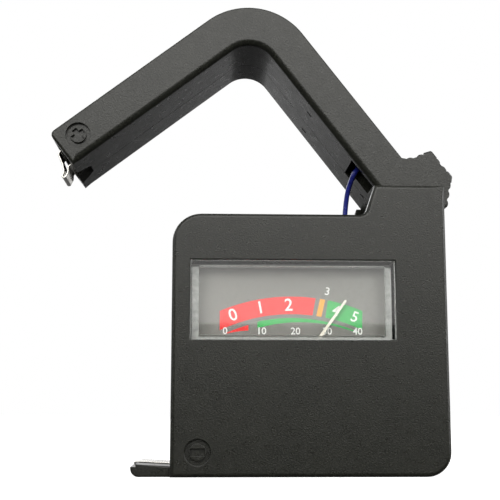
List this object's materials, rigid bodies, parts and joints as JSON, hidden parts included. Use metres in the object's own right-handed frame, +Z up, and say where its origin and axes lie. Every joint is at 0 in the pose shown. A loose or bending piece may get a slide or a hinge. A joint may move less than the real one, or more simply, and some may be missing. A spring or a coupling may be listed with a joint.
{
  "type": "battery tester",
  "caption": "Pocket battery tester: black two-shell case with an analogue meter window, a foot contact and a sprung swing arm with a second contact.",
  "frame": {"origin": "middle of the case base face, the foot left out", "axes": "+X to the right as the dial is read, +Y from the front face to the back face, +Z up"},
  "size_m": [0.0714, 0.024, 0.0835],
  "materials": {
    "case_plastic": "fine moulded texture, satin black",
    "clear_plastic": "clear polystyrene",
    "meter_tray_plastic": "moulded, dark grey",
    "dial_print": "printed grey plate with coloured bands",
    "soft_iron": "plated",
    "magnet": "sintered",
    "brass": "turned",
    "jewel": "polished",
    "pointer_paint": "painted cream white",
    "copper_winding": "enamelled copper wire",
    "staff_steel": "polished",
    "spring_bronze": "phosphor bronze",
    "board": "phenolic paper laminate",
    "resistor_tan": "lacquered, colour bands",
    "resistor_blue": "lacquered, colour bands",
    "nickel_strip": "nickel-plated sheet",
    "wire_black": "PVC insulation",
    "wire_red": "PVC insulation",
    "wire_blue": "navy PVC insulation",
    "pin_steel": "drawn",
    "screw_steel": "zinc-plated"
  },
  "bodies": {
    "case": {"front_shell": "case_plastic", "back_shell": "case_plastic", "case_screws": "screw_steel", "meter_cover": "clear_plastic", "meter_base": "meter_tray_plastic", "scale_plate": "dial_print", "yoke": "soft_iron", "core_magnet": "magnet", "core_spacers": "brass", "movement_bridge": "brass", "jewel_bearings": "jewel", "meter_terminals": "brass", "hairsprings": "spring_bronze", "circuit_board": "board", "load_resistor": "resistor_tan", "range_resistor": "resistor_blue", "nine_volt_resistor": "resistor_blue", "foot_contact": "nickel_strip", "nine_volt_contacts": "nickel_strip", "foot_lead": "wire_black", "nine_volt_leads": "wire_red", "hinge_pin": "pin_steel", "return_spring": "pin_steel", "arm_lead": "wire_blue"},
    "arm": {"arm_front_shell": "case_plastic", "arm_back_shell": "case_plastic"},
    "arm_tip": {"arm_contact": "nickel_strip"},
    "movement": {"pointer": "pointer_paint", "moving_coil": "copper_winding", "coil_staff": "staff_steel"}
  },
  "joints": [
    {"name": "arm_swing", "type": "hinge", "parent": "case", "child": "arm", "pos_m": [0.01702, 0, 0.0472], "axis": [0, 1, 0], "range_deg": [-52.3, 18], "deforming": ["return_spring", "arm_lead"]},
    {"name": "arm_contact_press", "type": "slide", "parent": "arm", "child": "arm_tip", "axis": [0.7934, 0, 0.6088], "range_m": [0, 0.0005], "stiffness_N_per_m": 800},
    {"name": "pointer_swing", "type": "hinge", "parent": "case", "child": "movement", "pos_m": [-0.0034, 0, 0.01625], "axis": [0, 1, 0], "range_deg": [-80.6, 9.4], "stiffness_Nm_per_rad": 0.000002, "springref_deg": -80.6, "deforming": ["hairsprings"]}
  ]
}
